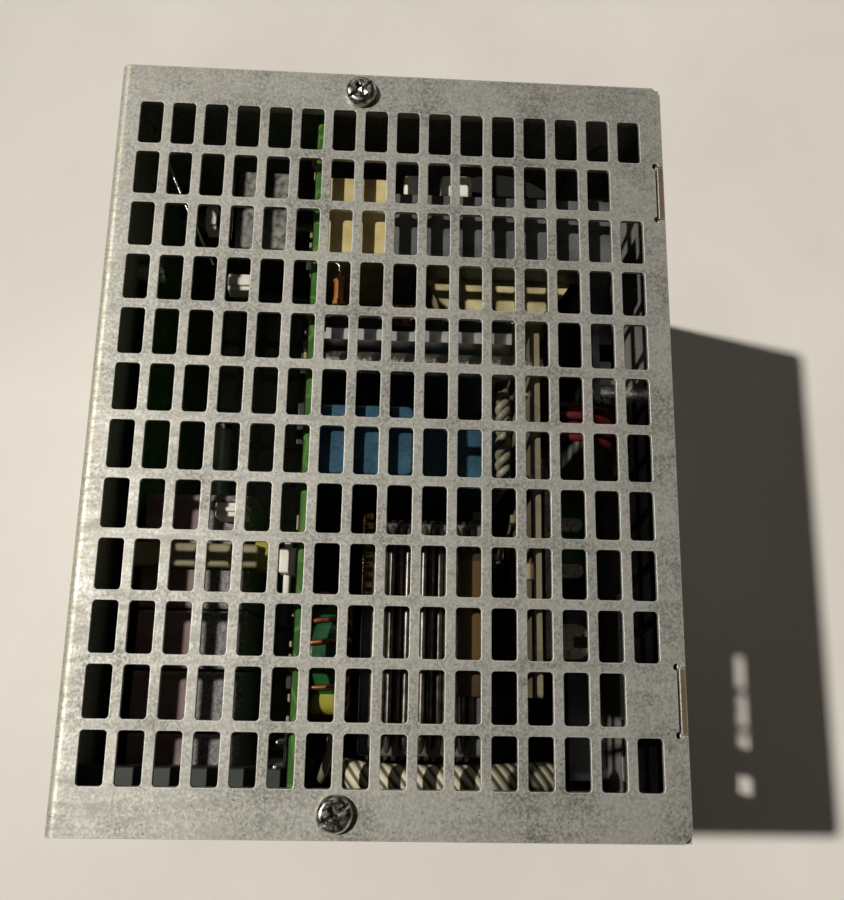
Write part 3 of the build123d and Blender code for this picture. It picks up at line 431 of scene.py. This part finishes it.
# %% Finishes for the frame's parts
part_finishes = {
    case_sheet: ["chassis", "latch_guide", "bottom_grille_cover"],
    cover_sheet: ["top_grille_cover"],
    panel_sheet: ["front_panel"],
    foil: ["front_foil"],
    bright_screw: ["cover_screws", "base_screws", "clip_screws", "board_screws"],
    spring_wire: ["latch_spring"],
    grey_polyamide: ["dc_terminal_block", "ac_terminal_block"],
    green_polyamide: ["signal_plug", "signal_header"],
    black_polyamide: ["mode_switch_body", "power_transistors", "din_latch"],
    white_nylon: ["mode_slider_1", "mode_slider_2", "trimmer_rotor"],
    blue_case: ["blue_capacitors", "trimmer_body"],
    tinned_wire: ["current_bars"],
    busbar_metal: ["output_busbar"],
    green_board: ["main_board", "filter_board"],
    black_board: ["display_board"],
    tan_board: ["control_board"],
    clamp_zinc: ["board_spacers"],
    clear_acrylic: ["light_pipes"],
    film_box: ["film_capacitors"],
    green_coating: ["ring_core"],
    winding_wire: ["line_windings"],
    fuse_finish: ["input_fuse"],
    bar_polyamide: ["spacer_bar"],
    tan_case: ["aux_transformer"],
    ferrite: ["transformer_core", "power_choke", "line_choke"],
    winding_finish: ["transformer_winding"],
    shield_tin_and_painted_shade: ["shield_plate"],
    capacitor_can: ["bulk_capacitors"],
    heat_sink_metal: ["heat_sink", "rail_hook", "side_rivets"],
}
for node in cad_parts:
    if "_screw_" in node:
        part_finishes[bright_screw].append(node)
    if "_clamp_" in node:
        part_finishes[clamp_zinc].append(node)


def wear(node, finish):
    """Gives a part of the frame its finish."""
    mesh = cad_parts[node].data
    mesh.materials.clear()
    mesh.materials.append(finish)


for finish, nodes in part_finishes.items():
    for node in nodes:
        wear(node, finish)
print("parts with a finish:", sum(len(nodes) for nodes in part_finishes.values()))

# %% [markdown]
# ## Tools for the small parts
# Small parts are built the same way each time: blocks and rods go into one mesh in
# millimetres, their edges are rounded, and the piece rides on the case. Wires are
# curves with a round section. A coil is one long wire, bent round its core.

# %% Blocks, rods, wires and coils
def round_edges(thing, radius, steps=2):
    """Rounds a thing's sharp edges by radius millimetres."""
    bevel = thing.modifiers.new("round", "BEVEL")
    bevel.width = radius * MM
    bevel.segments = steps
    bevel.limit_method = "ANGLE"
    bevel.angle_limit = math.radians(35)


def finish_piece(piece, finish, body="case"):
    """Puts a new piece into the scene, with its finish, riding on a body."""
    bpy.context.scene.collection.objects.link(piece)
    piece.data.materials.append(finish)
    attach(piece, body)
    return piece


BLOCK_SIDES = ((0, 1, 3, 2), (4, 6, 7, 5), (0, 4, 5, 1), (2, 3, 7, 6), (0, 2, 6, 4), (1, 5, 7, 3))


def block(mesh, x, y, z):
    """A block between two corners, in millimetres."""
    corners = [(a * MM, b * MM, c * MM) for a in x for b in y for c in z]
    made = [mesh.verts.new(corner) for corner in corners]
    for side in BLOCK_SIDES:
        mesh.faces.new([made[i] for i in side])


def rod(mesh, start, end, radius, sides=32, end_radius=None):
    """A round rod, or a cone, from start to end, in millimetres."""
    a, b = Vector(start) * MM, Vector(end) * MM
    along = (b - a).normalized()
    side = along.orthogonal().normalized()
    other = along.cross(side)
    rings = []
    for centre, size in ((a, radius), (b, end_radius or radius)):
        angles = [math.tau * i / sides for i in range(sides)]
        rings.append([
            mesh.verts.new(centre + size * MM * (math.cos(t) * side + math.sin(t) * other))
            for t in angles
        ])
    mesh.faces.new(rings[0][::-1])
    mesh.faces.new(rings[1])
    for i in range(sides):
        j = (i + 1) % sides
        mesh.faces.new((rings[0][i], rings[0][j], rings[1][j], rings[1][i]))


def piece_of(name, finish, blocks=(), rods=(), radius=0.25, body="case"):
    """One piece made of blocks and rods, with its edges rounded."""
    mesh = bmesh.new()
    for x, y, z in blocks:
        block(mesh, x, y, z)
    for one in rods:
        rod(mesh, *one)
    bmesh.ops.recalc_face_normals(mesh, faces=mesh.faces)
    data = bpy.data.meshes.new(name)
    mesh.to_mesh(data)
    mesh.free()
    data.shade_smooth()
    data.set_sharp_from_angle(angle=math.radians(35))
    piece = bpy.data.objects.new(name, data)
    if radius:
        round_edges(piece, radius)
    return finish_piece(piece, finish, body)


def wire(name, finish, points, thickness, body="case", closed=False, smooth=True):
    """A round wire through points, in millimetres."""
    data = bpy.data.curves.new(name, "CURVE")
    data.dimensions = "3D"
    data.bevel_depth = thickness / 2 * MM
    data.bevel_resolution = 3
    line = data.splines.new("NURBS" if smooth else "POLY")
    line.points.add(len(points) - 1)
    for point, place in zip(line.points, points):
        point.co = (*(c * MM for c in place), 1.0)
    line.use_cyclic_u = closed
    if smooth:
        line.order_u = 3
        line.use_endpoint_u = not closed
    data.use_fill_caps = True
    return finish_piece(bpy.data.objects.new(name, data), finish, body)


def squarish(angle, power):
    """Cosine and sine, pulled out towards a square as power falls below 1."""
    c, s = math.cos(angle), math.sin(angle)
    return math.copysign(abs(c) ** power, c), math.copysign(abs(s) ** power, s)


def coil_along_y(centre, wide, tall, start, end, turns, power=0.35, steps=28):
    """The path of a coil round a bar that lies along Y."""
    path = []
    for i in range(turns * steps + 1):
        c, s = squarish(math.tau * i / steps, power)
        y = start + (end - start) * i / (turns * steps)
        path.append((centre[0] + wide / 2 * c, y, centre[1] + tall / 2 * s))
    return path


def coil_round_ring(centre, ring, wide, tall, turns, first=0.0, last=360.0, steps=14):
    """The path of a coil wound round a ring whose axis is Y."""
    path = []
    for i in range(turns * steps + 1):
        c, s = squarish(math.tau * i / steps, 0.6)
        angle = math.radians(first + (last - first) * i / (turns * steps))
        out = ring + wide / 2 * c
        path.append((
            centre[0] + out * math.cos(angle), centre[1] + tall / 2 * s,
            centre[2] + out * math.sin(angle),
        ))
    return path


print("a coil of 3 turns has", len(coil_along_y((0, 0), 1, 1, 0, 1, 3)), "points")

# %% [markdown]
# ## The output choke
# The choke in the middle of the case is a bar of ferrite wound with thick copper
# wire, stiff with brown varnish. Under the grille the turns lie side by side, and
# a strip of brown tape holds them down on the side of the front panel.

# %% Wind the choke
choke_low, choke_high = (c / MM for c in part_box("power_choke"))
choke_middle = (choke_low + choke_high) / 2
choke_wire = 1.5
choke_turns = 13
choke_wide = choke_high.x - choke_low.x - choke_wire
choke_tall = choke_high.z - choke_low.z - choke_wire
first_turn, last_turn = choke_low.y + 3.0, choke_high.y - 1.5
wire("choke_turns", varnished_wire, coil_along_y(
    (choke_middle.x, choke_middle.z), choke_wide, choke_tall,
    first_turn, last_turn, choke_turns, power=0.22,
), choke_wire)
core = piece_of("choke_core", ferrite, [(
    (choke_low.x + choke_wire, choke_high.x - choke_wire),
    (choke_low.y, choke_high.y),
    (choke_low.z + choke_wire, choke_high.z - choke_wire),
)], radius=0.6)
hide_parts("power_choke")
tape_z = (choke_high.z - 0.4, choke_high.z + 0.15)
piece_of("choke_tape", brown_tape, [((-54, -25), (-80.4, -75.2), tape_z)], radius=0.12)
print("choke wire is", choke_wire, "mm thick, in", choke_turns, "turns")

# %% [markdown]
# ## The ring choke
# A ring of powder-coated iron stands on the main board and carries 16 turns of
# enamelled copper wire, with a gap where the two ends of the wire leave it.

# %% Wind the ring
ring_low, ring_high = (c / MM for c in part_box("ring_core"))
ring_middle = (ring_low + ring_high) / 2
ring_radius, turn_wide, turn_tall = 9.5, 7.6, 9.6
ring_turns, gap_start, gap_end, ring_wire = 16, 20, 340, 1.1
ring_path = coil_round_ring(
    ring_middle, ring_radius, turn_wide, turn_tall, ring_turns, gap_start, gap_end,
)
wire("ring_turns", winding_wire, ring_path, ring_wire)
print("the ring choke has", ring_turns, "turns of", ring_wire, "mm wire")

# %% [markdown]
# ## What shows under the first rows of the grille
# Between the rear plate and the main board are a cream bar across the film
# capacitors, a yellow disc capacitor, a cable tie, a folded clip, a dull bracket
# and three white spacer blocks.

# %% Parts behind the main board
piece_of("cream_bar", cream_nylon, [((-28.4, -23.4), (-33, -6), (42.7, 46.0))], radius=0.5)
disc_x, disc_z, disc_radius = -25.2, 40.2, 3.7
piece_of("disc_capacitor", olive_part, rods=[
    ((disc_x, -36.0, disc_z), (disc_x, -31.6, disc_z), disc_radius),
], radius=0.8)
for lead in (-27, -23.4):
    lead_path = [(lead, -33.8, 38), (lead, -34.5, 33), (lead, -40, 30), (lead, -42, 30)]
    wire(f"disc_lead_{abs(int(lead))}", tinned_wire, lead_path, 0.6)
tie_band = ((-34.7, -22.0), (-40.6, -39.3), (50.6, 53.4))
tie_head = ((-30.4, -25.4), (-42.0, -38.6), (47.4, 56.6))
piece_of("cable_tie", white_nylon, [tie_band, tie_head], radius=0.3)
clip_z = (50, 57)
piece_of("folded_clip", shield_metal, [
    ((-68, -61.6), (-42.0, -41.4), clip_z),
    ((-68, -67.4), (-42, -39.5), clip_z),
    ((-63.4, -62.8), (-42, -39.9), clip_z),
], radius=0.1)
bracket_x, bracket_top = (46, 66), 43.0
piece_of("rear_plate_bracket", plate_with_painted_shade, [
    (bracket_x, (-36, -22), (41.8, bracket_top)),
    (bracket_x, (-23.2, -22), (30, bracket_top)),
    ((48, 50), (-36.6, -35.4), (41.2, bracket_top + 0.6)),
], radius=0.2)
spacer_blocks = (
    ((51, 57), (-18.4, -15.8), (38, 42.5)),
    ((36, 40), (-27.2, -22), (38, 42.5)),
    ((-18.2, -15.2), (-30.4, -24), (42.4, 50)),
)
for number, (x, y, z) in enumerate(spacer_blocks, 1):
    nose = ((x[0] + 1, x[1] - 1), y, (z[0], z[1] + 0.6))
    piece_of(f"spacer_block_{number}", white_nylon, [(x, y, z), nose])
print("parts behind the main board are in")

# %% [markdown]
# ## What shows between the main board and the control board
# Here the case is fullest: a copper strap, an amber resistor, a serrated brass
# strip, a woven sleeve that carries the output wires, a bare wire link over the
# rear, a twisted pair of wires and four red leads.

# %% Parts in front of the main board
strap_x, strap_top = (21.6, 28), 57.0
piece_of("copper_strap", copper_strap, [
    (strap_x, (-65, -64.2), (40, strap_top)),
    (strap_x, (-65, -60), (strap_top - 0.8, strap_top)),
    (strap_x, (-60.8, -60), (50, strap_top)),
], radius=0.15)
amber_y, amber_z = -48.3, 54.5
amber_rods = [
    ((start, amber_y, amber_z), (end, amber_y, amber_z), radius)
    for start, end, radius in ((28.6, 34.4, 1.1), (28.2, 29.4, 1.35), (33.6, 34.8, 1.35))
]
piece_of("amber_resistor", amber_resin, rods=amber_rods, radius=0.25)
wire("amber_leads", tinned_wire, [
    (23.5, -44.0, amber_z), (24.6, amber_y, amber_z), (27.0, amber_y, amber_z),
    (36, amber_y, amber_z), (38.4, amber_y, amber_z), (39.0, -44.0, amber_z),
], 0.7)
strip_back = ((-35, -17.8), (-56.2, -55.4), (48, 55.2))
strip_teeth = [((x, x + 1.2), (-57.4, -56.0), (50, 56.4)) for x in range(-35, -18, 2)]
piece_of("brass_strip", gold_strip, [strip_back, *strip_teeth], radius=0.1)
wire("bare_link", tinned_wire, [
    (75.5, -1.6, 47), (73.7, -2.6, 53.0), (66.8, -6.2, 53.5), (55.0, -11.6, 53.5),
    (43.4, -17.1, 53.5), (41.5, -18.5, 44),
], 0.8)
wire("output_sleeve", braid, [
    (-70.4, -96, 40), (-70.2, -84, 50), (-70.2, -78, 53.4), (-70.2, -66, 54.0),
    (-70.0, -57, 52.5), (-69.6, -51, 44), (-69.4, -49, 30),
], 6.2)
wire("cream_wire", cream_insulation, [
    (-72, -47.6, 20), (-71.5, -48.0, 48), (-69, -49, 54),
    (-64, -50.5, 55), (-61.5, -50, 50), (-61.5, -48, 30),
], 1.7)
piece_of("earth_disc", olive_part, rods=[((-55, -52, 49), (-55, -45.4, 49), 3.2)], radius=0.9)

# %% Twisted pair and red leads
twist_turns, twist_steps, twist_radius, twist_length, twist_rise = 4, 32, 1.0, 20, 4
for strand in (0, 1):
    path = []
    for i in range(twist_steps + 1):
        along = i / twist_steps
        turn = math.tau * twist_turns * along + math.pi * strand
        rise = twist_rise * math.sin(math.pi * along)
        path.append((
            -8 + twist_length * along,
            -85 + twist_radius * math.cos(turn),
            47 + rise + twist_radius * math.sin(turn),
        ))
    wire(f"twisted_wire_{strand + 1}", cream_insulation, path, 1.7)
for number, (x, z) in enumerate(((2.4, 44), (4.8, 45), (7.2, 45), (9.6, 44)), 1):
    wire(f"red_lead_{number}", red_insulation, [
        (x, -92.4, z - 14), (x, -94.5, z - 2), (x, -98, z + 2),
        (x, -106, z + 1), (x - 1, -113, z - 5), (x - 3, -116, z - 22),
    ], 1.9)

# %% [markdown]
# ## Chips, film and the white caps
# The boards carry small chips and ceramic capacitors. Their places are drawn from a
# seeded random row, so that every run puts them in the same place. Thin black film
# insulates the panel. A second black sheet behind the output terminals is there
# only to block light and keep the shadow dark. Two white caps stand by the transformer.

# %% Chips on the boards
chip_places = random.Random(7)


def chips(name, finish, count, x, z, face, outward, sizes, height):
    """Small parts on a board's face. outward is the way the face looks along Y."""
    blocks = []
    for _ in range(count):
        wide, tall = chip_places.choice(sizes)
        if chip_places.random() < 0.5:
            wide, tall = tall, wide
        left, low = chip_places.uniform(*x), chip_places.uniform(*z)
        y = (face, face + outward * height)
        blocks.append(((left, left + wide), (min(y), max(y)), (low, low + tall)))
    return piece_of(name, finish, blocks, radius=0.12)


control_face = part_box("control_board")[1].y / MM
main_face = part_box("main_board")[1].y / MM
chip_sizes = ((5, 4), (4, 3), (9, 4))
small_chip_sizes = ((5, 4), (3, 3))
ceramic_sizes = ((2, 1.2), (3.2, 1.6))
chips("control_chips", chip_resin, 12, (-50, 14), (-10, 52), control_face, 1, chip_sizes, 1.4)
chips("control_ceramics", pale_ceramic, 26, (-50, 18), (-12, 55), control_face, 1, ceramic_sizes, 0.8)
chips("main_ceramics", pale_ceramic, 26, (-70, 70), (44, 55), main_face, 1, ceramic_sizes, 0.9)
chips("main_chips", chip_resin, 8, (-60, 60), (45, 51), main_face, 1, small_chip_sizes, 1.6)
film_y, film_z = (-117.6, -117.4), (26, 60)
film_spans = ((-74, -60), (-29, 17), (-60, -29))
piece_of("insulating_film", black_film, [(x, film_y, film_z) for x in film_spans], radius=0.05)
# a black sheet behind the output terminals, there only to block light and deepen the shade
screen = ((-77.5, -31), (-103.6, -103.2), (-32, 8))
piece_of("light_blocking_screen", black_film, [screen], radius=0.05)
cap_x = (54.8, 60.5)
piece_of("white_cap", white_nylon, [
    (cap_x, (-67.6, -62.0), (49, 54.6)), (cap_x, (-77.4, -70.4), (49, 55.2)),
], radius=0.8)

# %% [markdown]
# ## Marks on the front
# The only marks are the ones that every such supply carries: plus and minus at the
# output, and live, neutral and protective earth at the mains input. Each stroke is
# a thin strip of ink standing 0.03 mm proud of the film.

# %% Printed marks
ink = moulded("screen ink, dark grey", "#26282a", "#303234", 0.5)
foil_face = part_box("front_foil")[0].y / MM
PLUS = [((-1, 0), (1, 0)), ((0, -1), (0, 1))]
MINUS = [((-1, 0), (1, 0))]
LIVE = [((-0.6, 1), (-0.6, -1)), ((-0.6, -1), (0.6, -1))]
NEUTRAL = [((-0.7, -1), (-0.7, 1)), ((-0.7, 1), (0.7, -1)), ((0.7, -1), (0.7, 1))]
EARTH = [
    ((0, 1), (0, 0)), ((-0.9, 0), (0.9, 0)),
    ((-0.55, -0.4), (0.55, -0.4)), ((-0.2, -0.8), (0.2, -0.8)),
]


def mark(name, strokes, x, z, size=1.3, ink_width=0.38):
    """A mark on the foil made of straight strokes, centred on x and z."""
    mesh = bmesh.new()
    for start, end in strokes:
        a = Vector((x + size * start[0], 0, z + size * start[1]))
        b = Vector((x + size * end[0], 0, z + size * end[1]))
        along = (b - a).normalized() * ink_width / 2
        side = Vector((-along.z, 0, along.x))
        ring = [a - along - side, b + along - side, b + along + side, a - along + side]
        low = [mesh.verts.new((p + Vector((0, foil_face + 0.01, 0))) * MM) for p in ring]
        high = [mesh.verts.new((p + Vector((0, foil_face - 0.03, 0))) * MM) for p in ring]
        mesh.faces.new(high)
        for i in range(4):
            j = (i + 1) % 4
            mesh.faces.new((low[i], low[j], high[j], high[i]))
        mesh.faces.new(low[::-1])
    bmesh.ops.recalc_face_normals(mesh, faces=mesh.faces)
    data = bpy.data.meshes.new(name)
    mesh.to_mesh(data)
    mesh.free()
    return finish_piece(bpy.data.objects.new(name, data), ink)


mark_lift = 4.0
dc_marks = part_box("dc_terminal_block")[1].z / MM + mark_lift
ac_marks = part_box("ac_terminal_block")[1].z / MM + mark_lift
output_marks = ((PLUS, -69), (PLUS, -59), (MINUS, -49), (MINUS, -39))
input_marks = ((LIVE, 30), (NEUTRAL, 40), (EARTH, 50))
for number, (strokes, x) in enumerate(output_marks, 1):
    mark(f"output_mark_{number}", strokes, x, dc_marks)
for number, (strokes, x) in enumerate(input_marks, 1):
    mark(f"input_mark_{number}", strokes, x, ac_marks)
print("marks on the foil:", len(output_marks) + len(input_marks))

# %% [markdown]
# ## Floor
# The supply lies on a pale table top. Its paint is off-white and almost smooth,
# with a slight orange peel of about 3 mm and a few faint dents.

# %% The table top
tree, shader, place = start_finish("table top, off-white lacquer", 0.55)
tone = between(tree, cloud(tree, place, 60.0), "#e2ddd2", "#ebe6dc")
paint(tree, shader, tone)
relief(tree, shader, cloud(tree, place, 3.0, 3.0), 0.05, 0.4)
floor_data = bpy.data.meshes.new("table_top")
reach, floor_height = 3.0, cad_low.z
floor_data.from_pydata(
    [(-reach, -reach, floor_height), (reach, -reach, floor_height),
     (reach, reach, floor_height), (-reach, reach, floor_height)], [], [(0, 1, 2, 3)],
)
floor = bpy.data.objects.new("table_top", floor_data)
floor.data.materials.append(finishes["table top, off-white lacquer"])
bpy.context.scene.collection.objects.link(floor)
print("floor height in mm:", round(floor_height / MM, 2))

# %% [markdown]
# ## Lights
# One warm-white lamp, far off behind the case, draws a clear shadow with a narrow
# soft edge. It is a sun lamp two degrees wide, so it is even all over the table. A
# weak softbox over the right side adds a slight fall-off, and two low softboxes
# open up the front and the sides, but being low they hardly touch the table, so
# the shadow stays deep. The sky lights with a weak ring round the horizon and is
# dark above; seen directly it is a plain pale backdrop.

# %% Lamp, softboxes and sky
def softbox(name, place, aim, size, watts, tint="#ffffff"):
    data = bpy.data.lights.new(name, "AREA")
    data.shape = "DISK"
    data.size = size
    data.energy = watts
    data.color = colour(tint)[:3]
    light = bpy.data.objects.new(name, data)
    light.location = place
    light.rotation_euler = (Vector(aim) - Vector(place)).to_track_quat("-Z", "Y").to_euler()
    bpy.context.scene.collection.objects.link(light)
    return light


lamp_way = Vector((0.136, 0.70, 1.0))
lamp_data = bpy.data.lights.new("lamp", "SUN")
lamp_data.energy = 3.0
lamp_data.angle = math.radians(1.9)
lamp_data.color = colour("#fffbf6")[:3]
lamp = bpy.data.objects.new("lamp", lamp_data)
lamp.rotation_euler = (-lamp_way).to_track_quat("-Z", "Y").to_euler()
bpy.context.scene.collection.objects.link(lamp)
softbox("right_softbox", (0.9, 0.1, 0.7), (0, 0, 0), 0.5, 0.4)
softbox("front_left_softbox", (-0.9, -1.2, 0.22), (0, -0.06, 0), 0.7, 0.7, "#ffe9d6")
softbox("front_right_softbox", (1.0, -1.0, 0.22), (0, -0.06, 0), 0.7, 0.6, "#ffe9d6")

world = bpy.data.worlds.new("pale ring of sky")
bpy.context.scene.world = world
world.use_nodes = True
sky = world.node_tree
height = add(sky, "SeparateXYZ", {"Vector": add(sky, "TexCoord").outputs["Generated"]}).outputs["Z"]
glow = add(sky, "MapRange", {
    "Value": height, "From Min": 0.20, "From Max": 0.42, "To Min": 0.09, "To Max": 0.012,
}).outputs["Result"]
seen = add(sky, "LightPath").outputs["Is Camera Ray"]
strength = add(sky, "MapRange", {"Value": seen, "To Min": glow, "To Max": 0.74}).outputs["Result"]
background = sky.nodes["Background"]
background.inputs["Color"].default_value = colour("#f2e9df")
sky.links.new(strength, background.inputs["Strength"])

# %% [markdown]
# ## Camera
# The view is almost straight down on the grille, from beside its middle, with the
# rear plate on the left. Only the place, the aim point and a slight roll are set.

# %% The camera
camera_place = Vector((-0.0505, -0.0583, 0.2496))
aim_point = Vector((-0.0056, -0.0668, 0.0625))
camera_roll = math.radians(-1.06)
forward = (aim_point - camera_place).normalized()
side = forward.cross(Vector((1, 0, 0))).normalized()
upward = side.cross(forward)
upward = math.cos(camera_roll) * upward + math.sin(camera_roll) * side
side = forward.cross(upward)
camera_data = bpy.data.cameras.new("camera")
camera_data.lens = 38.0
camera_data.clip_start = 0.01
camera = bpy.data.objects.new("camera", camera_data)
bpy.context.scene.collection.objects.link(camera)
camera.location = camera_place
camera.rotation_euler = Matrix((side, upward, -forward)).transposed().to_euler()
bpy.context.scene.camera = camera
print("camera height over the table in mm:", round((camera_place.z - floor_height) / MM))
